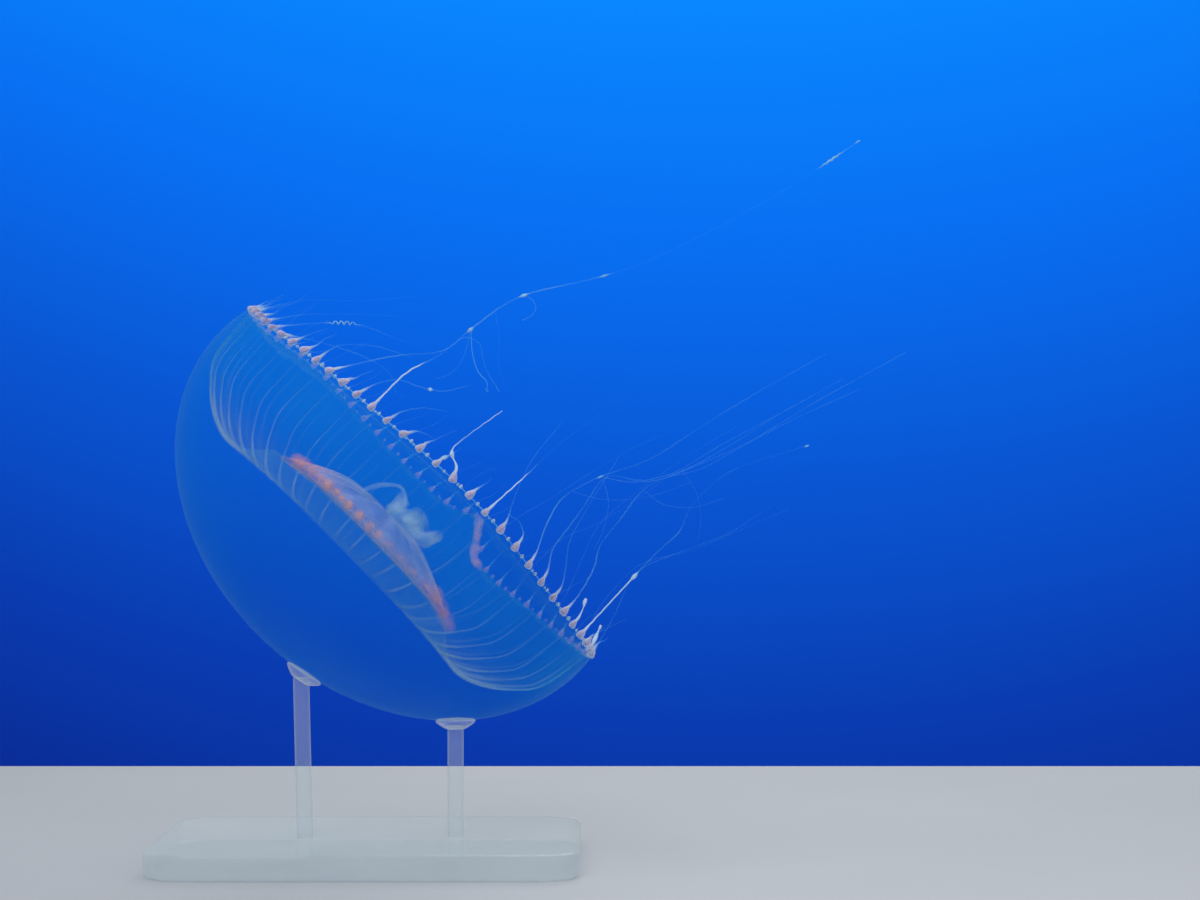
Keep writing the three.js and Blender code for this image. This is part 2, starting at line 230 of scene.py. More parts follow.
def feed(node, inputs):
    """Sets each named input of a node to a value, or joins it to an output."""
    for key, value in inputs.items():
        if isinstance(value, bpy.types.NodeSocket):
            node.id_data.links.new(value, node.inputs[key])
        else:
            node.inputs[key].default_value = value


def add(tree, kind, inputs=None, **settings):
    node = tree.nodes.new(kind)
    for key, value in settings.items():
        setattr(node, key, value)
    feed(node, inputs or {})
    return node


def grow(name, guide, tree, inputs):
    """Runs a node tree on a guide and keeps the result as a plain mesh."""
    seed = keep(name + "_guide", guide)
    modifier = seed.modifiers.new("grow", "NODES")
    modifier.node_group = tree
    for item in tree.interface.items_tree:
        if item.in_out == "INPUT" and item.name in inputs:
            modifier[item.identifier] = inputs[item.name]
    depsgraph = bpy.context.evaluated_depsgraph_get()
    mesh = bpy.data.meshes.new_from_object(
        seed.evaluated_get(depsgraph), preserve_all_data_layers=True, depsgraph=depsgraph)
    bpy.data.objects.remove(seed)
    return keep(name, mesh)


def new_tree(name, sockets):
    tree = bpy.data.node_groups.new(name, "GeometryNodeTree")
    tree.interface.new_socket("Geometry", in_out="INPUT", socket_type="NodeSocketGeometry")
    for label, kind in sockets:
        tree.interface.new_socket(label, in_out="INPUT", socket_type=kind)
    tree.interface.new_socket("Geometry", in_out="OUTPUT", socket_type="NodeSocketGeometry")
    return tree, add(tree, "NodeGroupInput"), add(tree, "NodeGroupOutput")


def named_value(tree, label, kind="FLOAT"):
    return add(tree, "GeometryNodeInputNamedAttribute", {"Name": label}, data_type=kind).outputs["Attribute"]


def finished(tree, geometry, given, result):
    """Ends a tree: what it made becomes one smooth mesh in the given finish."""
    whole = add(tree, "GeometryNodeRealizeInstances", {"Geometry": geometry})
    smooth = add(tree, "GeometryNodeSetShadeSmooth", {"Geometry": whole.outputs["Geometry"]})
    finish = add(tree, "GeometryNodeSetMaterial", {
        "Geometry": smooth.outputs["Geometry"], "Material": given.outputs["Finish"]})
    feed(result, {"Geometry": finish.outputs["Geometry"]})
    return tree


def threads_on_lines():
    """A tube along each line, as thick as the line's half_width says, flattened towards its facing."""
    tree, given, result = new_tree("threads_on_lines", [
        ("Sides", "NodeSocketInt"), ("Flatness", "NodeSocketFloat"), ("Finish", "NodeSocketMaterial")])
    curve = add(tree, "GeometryNodeMeshToCurve", {"Mesh": given.outputs["Geometry"]})
    turned = add(tree, "GeometryNodeSetCurveNormal", {
        "Curve": curve.outputs["Curve"], "Normal": named_value(tree, "facing", "FLOAT_VECTOR")}, mode="FREE")
    ring = add(tree, "GeometryNodeCurvePrimitiveCircle", {
        "Resolution": given.outputs["Sides"], "Radius": 1.0})
    squash = add(tree, "ShaderNodeCombineXYZ", {"X": given.outputs["Flatness"], "Y": 1.0, "Z": 1.0})
    section = add(tree, "GeometryNodeTransform", {
        "Geometry": ring.outputs["Curve"], "Scale": squash.outputs["Vector"]})
    tube = add(tree, "GeometryNodeCurveToMesh", {
        "Curve": turned.outputs["Curve"], "Profile Curve": section.outputs["Geometry"],
        "Scale": named_value(tree, "half_width"), "Fill Caps": True})
    return finished(tree, tube.outputs["Mesh"], given, result)


def buds_on_points():
    """A copy of the bud on each point, pointing along its lean and as large as its size says."""
    tree, given, result = new_tree("buds_on_points", [
        ("Bud", "NodeSocketObject"), ("Finish", "NodeSocketMaterial")])
    points = add(tree, "GeometryNodeMeshToPoints", {"Mesh": given.outputs["Geometry"]})
    bud = add(tree, "GeometryNodeObjectInfo", {"Object": given.outputs["Bud"]})
    turn = add(tree, "FunctionNodeAlignRotationToVector", {
        "Vector": named_value(tree, "lean", "FLOAT_VECTOR")}, axis="Z")
    copies = add(tree, "GeometryNodeInstanceOnPoints", {
        "Points": points.outputs["Points"], "Instance": bud.outputs["Geometry"],
        "Rotation": turn.outputs["Rotation"], "Scale": named_value(tree, "size", "FLOAT_VECTOR")})
    return finished(tree, copies.outputs["Instances"], given, result)


# ---- finishes
def new_group(name, inputs, output):
    tree = bpy.data.node_groups.new(name, "ShaderNodeTree")
    for label in inputs:
        tree.interface.new_socket(label, in_out="INPUT", socket_type="NodeSocketFloat")
    tree.interface.new_socket(output, in_out="OUTPUT", socket_type="NodeSocketFloat")
    return tree, add(tree, "NodeGroupInput"), add(tree, "NodeGroupOutput")


def reckon(tree, operation, *values, clamp=False):
    """Arithmetic on numbers and outputs of nodes."""
    node = add(tree, "ShaderNodeMath", dict(enumerate(values)), operation=operation, use_clamp=clamp)
    return node.outputs[0]


def noise(tree, scale, detail, roughness=0.5):
    where = add(tree, "ShaderNodeTexCoord").outputs["Object"]
    return add(tree, "ShaderNodeTexNoise", {
        "Vector": where, "Scale": scale, "Detail": detail, "Roughness": roughness}).outputs["Fac"]


def cloudiness():
    """Soft clouds with finer ones in them, 0 to 1."""
    tree, given, result = new_group("cloudiness", ["Scale", "Contrast"], "Cloud")
    centred = reckon(tree, "SUBTRACT", noise(tree, given.outputs["Scale"], 4.0, 0.55), 0.5)
    spread = reckon(tree, "MULTIPLY", given.outputs["Contrast"], 2.2)
    cloud = reckon(tree, "MULTIPLY_ADD", centred, spread, 0.5, clamp=True)
    feed(result, {"Cloud": cloud})
    return tree


def wrinkles():
    """Height of fine wrinkles over slow waves."""
    tree, given, result = new_group("wrinkles", ["Scale", "Waves"], "Height")
    fine = noise(tree, given.outputs["Scale"], 3.0)
    slow = noise(tree, given.outputs["Waves"], 1.0)
    height = reckon(tree, "MULTIPLY_ADD", fine, 0.35, slow)
    feed(result, {"Height": height})
    return tree


CLOUDINESS = cloudiness()
WRINKLES = wrinkles()


def use_group(tree, group, inputs):
    """The one output of a shared group."""
    return add(tree, "ShaderNodeGroup", inputs, node_tree=group).outputs[0]


def shade(*screen):
    """A colour from its red, green and blue screen values, 0 to 255."""
    return tuple(v / 3294.6 if v <= 10 else ((v / 255 + 0.055) / 1.055) ** 2.4 for v in screen) + (1.0,)


def blend(tree, factor, first, second):
    """The mix of two colours, each a plain colour or the output of a node."""
    return add(tree, "ShaderNodeMix", {0: factor, 6: first, 7: second}, data_type="RGBA").outputs[2]


def new_material(name, roughness, specular, ior):
    material = bpy.data.materials.new(name)
    material.use_nodes = True
    shader = material.node_tree.nodes["Principled BSDF"]
    feed(shader, {"Roughness": roughness, "Specular IOR Level": specular, "IOR": ior})
    return material, material.node_tree, shader


def flesh(name, tint, pale, milk, cloud, wrinkle, accent=(255, 220, 200), clear=0.0, limb=0.0, edge=3.0,
          soft=0.0, contrast=1.0, roughness=0.5, specular=0.1, depth=0.0001):
    """See-through flesh: as dense as clear face on, denser by limb at a slant, and by milk where the
    mesh's milk value is 1. A soft one fades out towards its edges; below zero it has firm ones instead."""
    material, tree, shader = new_material(name, roughness, specular, 1.34)
    clouds = use_group(tree, CLOUDINESS, {"Scale": cloud, "Contrast": contrast})
    marked = add(tree, "ShaderNodeAttribute", attribute_name="accent").outputs["Fac"]
    colour = blend(tree, marked, blend(tree, clouds, shade(*tint), shade(*pale)), shade(*accent))
    feed(shader, {"Base Color": colour})
    slant = add(tree, "ShaderNodeLayerWeight", {"Blend": 0.5}).outputs["Facing"]
    body = reckon(tree, "MULTIPLY_ADD", reckon(tree, "POWER", slant, edge), limb, clear)
    milky = add(tree, "ShaderNodeAttribute", attribute_name="milk").outputs["Fac"]
    thick = reckon(tree, "MULTIPLY_ADD", milky, milk, body)
    if soft:
        middle = reckon(tree, "POWER", reckon(tree, "SUBTRACT", 1.0, slant), 2.0)
        thick = reckon(tree, "MULTIPLY", thick, reckon(tree, "MULTIPLY_ADD", middle, soft, 1.0 - soft))
    uneven = reckon(tree, "MULTIPLY_ADD", clouds, 0.5, 0.75)
    feed(shader, {"Alpha": reckon(tree, "MULTIPLY", thick, uneven, clamp=True)})
    height = use_group(tree, WRINKLES, {"Scale": wrinkle, "Waves": wrinkle / 8})
    bump = add(tree, "ShaderNodeBump", {"Height": height, "Strength": 0.6, "Distance": depth})
    feed(shader, {"Normal": bump.outputs["Normal"]})
    return material


clear_jelly = flesh("clear_jelly", (4, 146, 200), (20, 170, 212), milk=0.07, cloud=24, wrinkle=90,
                    clear=0.040, limb=0.13, roughness=0.3, specular=0.02, depth=0.0003)
cavity_lining = flesh("cavity_lining", (10, 148, 195), (30, 164, 202), milk=0.045, cloud=70, wrinkle=300,
                      accent=(110, 156, 200), clear=0.035, limb=0.08, roughness=0.4, specular=0.02)
velum_film = flesh("velum_film", (40, 165, 210), (90, 185, 220), milk=0.03, cloud=120, wrinkle=500,
                   clear=0.014, limb=0.02, edge=2.0, roughness=0.4, specular=0.05)
stomach_wall = flesh("stomach_wall", (120, 156, 218), (146, 164, 218), milk=0.56, cloud=150, wrinkle=420,
                     accent=(226, 142, 152), clear=0.02, limb=0.04, edge=1.8, soft=0.35, contrast=1.3,
                     depth=0.0003)
lip_frill = flesh("lip_frill", (140, 186, 230), (170, 202, 232), milk=0.70, cloud=260, wrinkle=700,
                  clear=0.03, limb=0.06, edge=1.4, soft=0.7, contrast=1.4, depth=0.0002)
canal_wall = flesh("canal_wall", (126, 172, 220), (150, 182, 220), milk=0.42, cloud=300, wrinkle=900,
                   soft=1.0)
rim_thread = flesh("rim_thread", (90, 180, 245), (130, 205, 248), milk=0.7, cloud=400, wrinkle=900, soft=0.8,
                   roughness=0.4, specular=0.2)
bulb_shell = flesh("bulb_shell", (190, 210, 252), (210, 224, 254), milk=0.27, cloud=1500, wrinkle=1500,
                   soft=-2.0, contrast=1.2, roughness=0.35, specular=0.4, depth=0.00002)
bulb_core = flesh("bulb_core", (182, 128, 168), (200, 152, 188), milk=0.76, cloud=1500, wrinkle=1500,
                  accent=(206, 212, 250), soft=0.3, contrast=1.2, specular=0.2, depth=0.00002)
young_flesh = flesh("young_flesh", (120, 195, 240), (180, 210, 240), milk=0.8, cloud=1500, wrinkle=2500,
                    accent=(228, 165, 160), roughness=0.4, specular=0.3, depth=0.00005)
salmon_fold = flesh("salmon_fold", (156, 150, 212), (196, 154, 194), milk=0.50, cloud=260, wrinkle=700,
                    soft=1.0, contrast=1.3)
stomach_spot = flesh("stomach_spot", (222, 142, 156), (242, 174, 148), milk=0.5, cloud=700, wrinkle=1200,
                     accent=(240, 182, 168), soft=1.0, contrast=1.4)
# The accent is the pale colour of the knots and of the painted highlight where a tentacle catches the light.
tentacle_thread = flesh("tentacle_thread", (70, 170, 238), (110, 196, 244), milk=0.9, cloud=260, wrinkle=1500,
                        accent=(204, 228, 252), soft=0.6, contrast=0.9, roughness=0.4, specular=0.3,
                        depth=0.00002)


# ---- bell and velum
COLUMNS = BULBS * 6
AROUND = np.arange(COLUMNS) * 360 / COLUMNS


def nearness(azimuth):
    """1 on the near half of the bell, 0 on the far half."""
    return ramp(-np.cos(np.radians(azimuth)), -0.25, 0.25)


def bell_skin():
    """The outer dome, the rounded rim and the cavity's lining, drawn in a little between its canals."""
    low = -math.asin(WIDEST_AT / BELL_RISE)
    angle = np.linspace(math.pi / 2, low, 44)
    dome = np.stack([BELL_RADIUS * np.cos(angle), WIDEST_AT + BELL_RISE * np.sin(angle)], axis=1)
    dome[0, 0] = 0
    lip = np.array([[48.62, -0.16], [48.4, -0.24], [48.18, -0.16]])
    cavity = smooth_run(LINING, 60)
    cavity[-1, 0] = 0
    still = np.ones(len(AROUND))
    high_side = 0.35 + 0.65 * (0.5 - 0.5 * np.sin(np.radians(AROUND)))
    rows, milk, accent = [], [], []
    for radius, height in np.vstack([dome, lip]):
        rows.append(outside(radius, AROUND, height))
        milk.append((0.25 * hill(height, 0, 2.5) + 0.75 * hill(height, 6, 8)) * still)
        accent.append(0 * still)
    phase = np.cos(2 * np.pi * canal_phase(AROUND))
    for radius, height in cavity:
        flute = 0.22 * float(ramp(radius, 23, 31) * ramp(height, 0, 6))
        rows.append(inside(radius + flute * (phase - 1) * (radius > 33), AROUND, height))
        shoulder = hill(height, 19.5, 4.5) * ramp(radius, 27, 34)
        milk.append(shoulder * still)
        accent.append(shoulder * high_side)
    slots = np.array([0] * (len(dome) + 2) + [1] * len(cavity))[:len(rows) - 1]
    return skin("bell_skin", np.array(rows), [clear_jelly, cavity_lining], slots=slots,
                values={"milk": np.concatenate(milk), "accent": np.concatenate(accent)})


def velum_sheet():
    """The thin shelf that narrows the mouth of the cavity, with a free edge that ripples."""
    section = smooth_run([[VELUM_ROOT, 0.05], [45, 0.42], [42.6, 0.8], [42.35, 1.0], [42.6, 1.2], [45, 0.9],
                          [VELUM_ROOT, 0.72]], 26)
    rows, milk = [], []
    for radius, height in section:
        free = float(ramp(VELUM_ROOT - radius, 0, 5))
        ripple = 0.22 * free * np.sin(np.radians(AROUND) * 31 + 2 * np.sin(np.radians(AROUND) * 3))
        rows.append(inside(radius, AROUND, height + ripple))
        milk.append(0.2 + 0.8 * hill(radius, VELUM_EDGE, 0.5) * nearness(AROUND))
    return skin("velum_sheet", np.array(rows), [velum_film], wrap_rows=True,
                values={"milk": np.concatenate(milk)})


# ---- stomach and lips
def on_stomach(radius, azimuth, height):
    """A point of the stomach, which follows the lining. Its high end is drawn in and pressed up against
    the jelly."""
    high = hill(azimuth, 270, 34) * ramp(radius, 8, 22)
    return inside(radius - high, azimuth, height + 0.7 * high)


def stomach_bag():
    """A wide flat bag: a roof against the jelly and a pleated floor that bulges towards the mouth."""
    section = smooth_run([[0, 8.5], [4.5, 8.7], [11.4, 9.8], [17, 11.8], [21.5, 14.0], [23.6, 15.1],
                          [22.9, 15.45], [12, 13.75], [0, 13.2]], 74)
    section[0, 0] = 0
    section[-1, 0] = 0
    floor = np.arange(len(section)) < np.argmax(section[:, 0])
    turn = np.radians(AROUND)
    ends = 0.7 * hill(AROUND, 262, 38), 0.5 * hill(AROUND, 100, 22)
    rows, milk, accent = [], [], []
    for (radius, height), is_floor in zip(section, floor):
        pleat = 0.34 * np.sin(9 * turn + 1.5 * np.sin(2 * turn)) + 0.16 * np.sin(23 * turn + 1)
        strength = float(ramp(radius, 2, 9)) * (1.0 if is_floor else 0.25)
        strength *= 1 - float(ramp(radius, 20, 23.5))
        rows.append(on_stomach(radius, AROUND, height + strength * pleat))
        body = 0.74 + 0.26 * ramp(radius, 15, 21)
        milk.append(np.clip((body + 0.3 * strength * pleat) * (1 - 0.8 * ramp(radius, 21.6, 23.6)), 0, 1))
        pink = ends[0] * ramp(radius, 11, 19) + ends[1] * ramp(radius, 14, 21) + 0.28 * ramp(radius, 19, 22)
        accent.append(pink * (0.85 + 0.15 * np.sin(17 * turn)))
    return skin("stomach_bag", np.array(rows), [stomach_wall],
                values={"milk": np.concatenate(milk), "accent": np.clip(np.concatenate(accent), 0, 1)})


def mouth_frill():
    """The lips: a short neck that opens into a thin curtain of a few broad lobes. They stand off to the
    low side of the stomach's middle, the more so towards their edge."""
    turn = np.radians(AROUND)

    def wall(down, thickness):
        flare = 3.5 + 1.3 * ramp(down, 0, 0.3) + 0.5 * ramp(down, 0.5, 1) - thickness
        ruffle = 1 + 0.2 * down * np.sin(4 * turn + 0.7) + 0.07 * down ** 2 * np.sin(11 * turn + 1)
        height = 8.8 - 4.6 * down + 0.8 * down ** 2 * np.sin(5 * turn + 0.6)
        trim = 1 - 0.42 * down * np.maximum(0, np.sin(turn))
        sideways = (1.9 * down + 4.4) * SIDE
        return place(1.28 * flare * ruffle * trim, AROUND, height + 0.4) + sideways
    downs = np.linspace(0, 1, 16)
    rows = [wall(down, 0) for down in downs] + [wall(down, 0.3) for down in downs[::-1]]
    lobes = 0.75 + 0.25 * np.sin(4 * turn + 0.7)
    milk = np.concatenate([(0.4 + 0.6 * down) * (1 - 0.85 * float(ramp(down, 0.6, 1))) * lobes
                           for down in [*downs, *downs[::-1]]])
    return skin("mouth_frill", np.array(rows), [lip_frill], wrap_rows=True, values={"milk": milk})


# ---- canals and rim lines
def tube_line(points, half_width, milk=1.0, accent=0.0, facing=(0, 1, 0)):
    """A line for guide_lines, with each value the same all along it or given point by point."""
    count = len(points)

    def spread(value, *width):
        return np.array(np.broadcast_to(np.asarray(value, float), (count, *width)))
    return {"points": points, "half_width": spread(half_width) * MM, "milk": spread(milk),
            "accent": spread(accent), "facing": spread(facing, 3)}


def canal_azimuth(k):
    """Every fourth canal is a faint one, and the three strong ones between spread out over the gap."""
    return float(bulb_azimuth(k + (0, 0.33, 0.67, 0.33)[k % 4]))


def canal_lines():
    """One line for each radial canal, from the stomach over the shoulder and down the wall to the rim."""
    run = smooth_run(LINING[:8][::-1], 46)
    t = np.linspace(0, 1, len(run))
    lines = []
    for k in range(BULBS):
        azimuth = canal_azimuth(k) + 1.0 * (chance(k, 11) - 0.5)
        sway = 0.9 * (chance(k, 12) - 0.5) * np.sin(math.pi * t) + 0.25 * np.sin(9 * t + 6 * chance(k, 13))
        points = inside(run[:, 0] - 0.12, azimuth + sway, run[:, 1] - 0.12)
        across = np.cos(np.radians(azimuth)) * SIDE + np.sin(np.radians(azimuth)) * NEAR
        facing = unit(np.cross(np.gradient(points, axis=0), across))
        near = float(nearness(azimuth))
        hook = 0.6 * float(ramp(math.cos(math.radians(azimuth)), 0.3, 0.7)) * hill(t, 0.36, 0.09)
        shown = 0.12 + 0.88 * ramp(t, 0.2, 0.3) + hook - 0.55 * ramp(t, 0.42, 0.6) - 0.36 * ramp(t, 0.6, 0.95)
        strength = (0.12 if k % 4 == 3 else 0.65 + 0.35 * chance(k, 14)) * (1 - 0.76 * near)
        fade = strength * shown
        width = 0.27 + 0.22 * hill(t, 0.3, 0.2) - 0.06 * t
        lines.append(tube_line(points, width, milk=fade, facing=facing))
    return lines


def rim_lines():
    """The fine cord round the rim that carries the bulbs, and the ring of the velum's root."""
    k = np.linspace(0, BULBS, BULBS * 12, endpoint=False)
    azimuth = bulb_azimuth(k)
    lines = []
    for radius, height, width, milk in ((48.5, -0.55, 0.16, 0.7), (47.4, 0.5, 0.14, 0.12)):
        points = outside(radius, azimuth, height)
        strength = milk * (0.04 + 0.96 * nearness(azimuth))
        ring = np.vstack([points, points[:2]])
        lines.append(tube_line(ring, width, milk=np.append(strength, strength[:2])))
    return lines


def fold_lines():
    """A salmon fold that lies along the far rim where it dips, with a crease across it, and a rosy strip
    along the high end of the rim, where the bulbs crowd together."""
    azimuth = np.linspace(12.5, 27.5, 60)
    points = inside(46.6 + 0.4 * np.sin(azimuth), azimuth, 0.2 + 0 * azimuth)
    within = ramp(azimuth, 12.5, 16.5) * (1 - ramp(azimuth, 23.5, 27.5))
    crease = hill(azimuth, 19.6, 0.5)
    width = 0.25 + (0.85 + 0.18 * np.sin(azimuth * 1.3)) * within - 0.3 * crease
    fold = tube_line(points, width, milk=within * (1 - 0.5 * crease))
    k = np.linspace(-2.5, 6, 120)
    strip = outside(48.3, bulb_azimuth(k), -0.95 + 0.12 * np.sin(5 * k))
    fade = ramp(k, -2.5, -1) * (1 - ramp(k, 3, 6))
    return [fold, tube_line(strip, 0.25 + 0.5 * fade + 0.08 * np.sin(7 * k), milk=1.3 * fade)]


def strand_lines():
    """A cord that loops from the stomach's floor round a gap and back to the lips."""
    arc = [(-1.4, 73.2), (-0.8, 74.0), (1.2, 74.8), (3.6, 75.1), (6.2, 74.7), (7.2, 73.0), (7.0, 70.9),
           (5.6, 70.0), (3.4, 69.6)]
    points = smooth_run([(x, -3.0, z) for x, z in arc], 60)
    return [tube_line(points, 0.5 + 0.1 * np.sin(np.linspace(0, 9, 60)), milk=0.26)]


# ---- tentacles
# Routes of the tentacles that stand out, as runs of [length, heading above +X in degrees].
ROUTES = {
    0: [[8, 14], [14, -2], [10, 5]],
    2: [[6, 10], [12, 0], [8, -3]],
    3: [[8, 5], [8, 0], [10, -22]],
    4: [[9, -12], [6, -18], [8, -29], [3, -75]],
    7: [[4, 35], [8, -2], [8, -18]],
    8: [[14, 13], [8.5, 2], [5, 39], [0.5, -20], [6.3, -83], [4.9, -58]],
    10: [[4, 28], [4.5, 12], [4.5, -22], [4, -12], [5, 15]],
    11: [[10.5, 46], [5, 24], [5, 40], [12, 37], [16, 12], [44, 27], [11, 34]],
    12: [[3, 30], [4, 10], [5, -10]],
    13: [[3, 10], [3, -30]],
    16: [[2, 72], [2.8, 118], [4.5, 38], [8, 35]],
    18: [[11, 42], [6, 44], [12, 35]],
    19: [[1.5, 55], [4, 74], [8, 66], [10, 50]],
    20: [[2.5, 52], [2.5, 105], [3, 150]],
    21: [[2, 58], [5, 73], [6, 63], [9, 28], [8, 17], [14.5, 34], [12.5, 31], [13, 29]],
    22: [[2, 60], [4, 82], [6, 52], [5, 54], [7, 59], [6, -15], [6.5, 14], [8, 33], [14, 28], [14, 29]],
    23: [[2, 50], [4, 78], [4, 85], [10, 60], [10, 58]],
    24: [[2, 45], [5.5, 57], [3.5, 64], [2, 80], [8, 50], [6, 55], [12, 21], [8, 23], [17, 32], [20, 28.5]],
    25: [[1.5, 50], [4, 72]],
    26: [[13.5, 47.5], [9.5, 47.5], [4.5, 40], [4.5, 70], [7, 45], [20, 17]],
    28: [[5, 66]],
}

# Knots on a tentacle: where along it, half width, half length and how yellow.
KNOTS = {
    3: [[13.8, 0.16, 2.6, 0.1]],
    10: [[14.8, 0.42, 0.45, 0.7]],
    11: [[23.2, 0.42, 0.7, 0.5], [35.0, 0.34, 0.8, 0.5], [50.2, 0.26, 0.9, 0.2], [97.4, 0.24, 2.4, 0.3],
         [103.2, 0.2, 0.6, 0.2]],
    15: [[1.6, 0.45, 0.9, 0.3]],
    16: [[1.6, 0.34, 1.8, 0.25], [4.6, 0.5, 0.8, 0.4]],
    21: [[22, 0.24, 0.6, 0.2]],
    25: [[4.8, 0.42, 1.0, 0.3]],
    26: [[15.2, 0.46, 1.0, 0.6], [58.6, 0.24, 0.5, 0.2]],
    28: [[2.0, 0.5, 1.6, 0.0], [4.6, 0.3, 0.8, 0.2]],
}

# Tightly coiled stretches: from, to, how wide the coil is.
COILS = {
    3: [10.8, 17.0, 0.34], 8: [28.0, 34.0, 0.12], 11: [94.0, 101.0, 0.07], 24: [20.0, 30.0, 0.07],
    30: [8.0, 16.0, 0.08], 36: [12.0, 22.0, 0.08],
}

# Side strands: their tentacle, where they leave it, their runs, half width and how bright.
STRAYS = [
    [11, 35.2, [[1.6, -30], [1.6, -65], [1.4, -120], [2.2, -155]], 0.12, 0.19],
    [11, 23.4, [[4, -88], [4, -75], [3, -45], [1.5, -110], [1.0, 170]], 0.13, 0.38],
    [11, 23.2, [[3, -100], [4, -112], [3, -140], [2, -170]], 0.08, 0.14],
    [11, 29.0, [[5, -80], [5, -95], [4, -70]], 0.07, 0.08],
    [21, 22.0, [[5, -12], [6, 4], [7, 24], [9, 30], [10, 33]], 0.09, 0.14],
    [21, 16.0, [[4, -18], [5, -5], [6, 8], [8, 20]], 0.07, 0.1],
    [24, 33.0, [[6, 12], [8, 30], [12, 28], [14, 24]], 0.08, 0.13],
    [24, 28.0, [[4, -40], [5, -8], [8, 18]], 0.07, 0.1],
    [22, 23.0, [[4, -75], [5, -100], [5, -115]], 0.08, 0.13],
    [22, 38.0, [[5, -55], [5, -80], [4, -100]], 0.07, 0.1],
]

# How bright the tentacles are that catch the light.
BRIGHT = {11: 0.26, 26: 0.24, 18: 0.2, 16: 0.9, 28: 0.9, 25: 0.5, 10: 0.22, 8: 0.24, 19: 0.13, 20: 0.22}

# Stretches that shine or fade: from, to and how much brighter.
SHINE = {
    0: [[6, 40, -0.09]], 2: [[7, 40, -0.07]], 3: [[10.5, 17, 0.25]], 8: [[0, 4, 0.2]],
    11: [[2.0, 11.5, 0.8], [12, 21, -0.1], [52, 94, -0.3]], 16: [[0, 6, 0.1]],
    18: [[0.0, 10.0, 0.7], [13, 30, -0.14]], 21: [[0, 14, 0.14]], 22: [[0, 14, 0.14]], 23: [[0, 9, 0.1]],
    24: [[0, 14, 0.12]], 25: [[0, 5.5, 0.4]], 26: [[0.0, 15.0, 0.7], [28, 60, -0.14]],
}


def route(k):
    """The runs of tentacle k. Those not listed are short, but for some long ones on the far side."""
    if k in ROUTES:
        return ROUTES[k]
    a = math.radians(float(bulb_azimuth(k)))
    start = 38 + 28 * math.sin(a)
    short = 7 if math.cos(a) > 0 else 4
    long = 29 < k < 44 and k % 3 == 0
    length = short * (1 + chance(k, 1)) + (24 + 30 * chance(k, 5) if long else 0)

    def swing(spread, n):
        return spread * (chance(k, n) - 0.5)
    return [[0.16 * length, start + swing(14, 2)], [0.24 * length, start - 6 + swing(30, 3)],
            [0.2 * length, 30 + swing(36, 4)], [0.2 * length, 24 + swing(24, 6)],
            [0.2 * length, 29 + swing(30, 8)]]


def heading_at(runs, t):
    """The heading at each length t, which turns smoothly from the middle of one run to the next."""
    middles, headings, end = [], [], 0
    for length, heading in runs:
        middles.append(end + length / 2)
        headings.append(heading)
        end += length
    found = np.full(len(t), float(headings[0]))
    for i in range(1, len(runs)):
        turning = headings[i - 1] + (headings[i] - headings[i - 1]) * ramp(t, middles[i - 1], middles[i])
        found = np.where(t > middles[i - 1], turning, found)
    return found


def bulb_seat(k):
    """Where bulb k sits on the strip that carries it."""
    ends = [(bulb_azimuth(k) + bulb_azimuth(beside)) / 2 for beside in (k - 1, k + 1)]
    return outside(MARGIN_RADIUS, ends, MARGIN_HEIGHT).mean(axis=0)


def centre_line(k):
    """Points along tentacle k, and how far each lies from the rim."""
    runs = route(k)
    total = sum(length for length, _ in runs)
    count = int(round(total / THREAD_STEP))
    each = total / count
    t = (np.arange(count) + 0.5) * each
    lean = 0.1 * math.cos(math.radians(float(bulb_azimuth(k)))) + 0.16 * (chance(k, 7) - 0.5)
    depth = lean + 0.14 * np.sin(t / 7 + 6 * chance(k, 9))
    flat = np.sqrt(1 - depth ** 2)
    heading = np.radians(heading_at(runs, t))
    moves = each * np.stack([flat * np.cos(heading), depth, flat * np.sin(heading)], axis=1)
    points = np.vstack([[0, 0, 0], np.cumsum(moves, axis=0)]) + bulb_seat(k)
    return points, np.arange(count + 1) * each


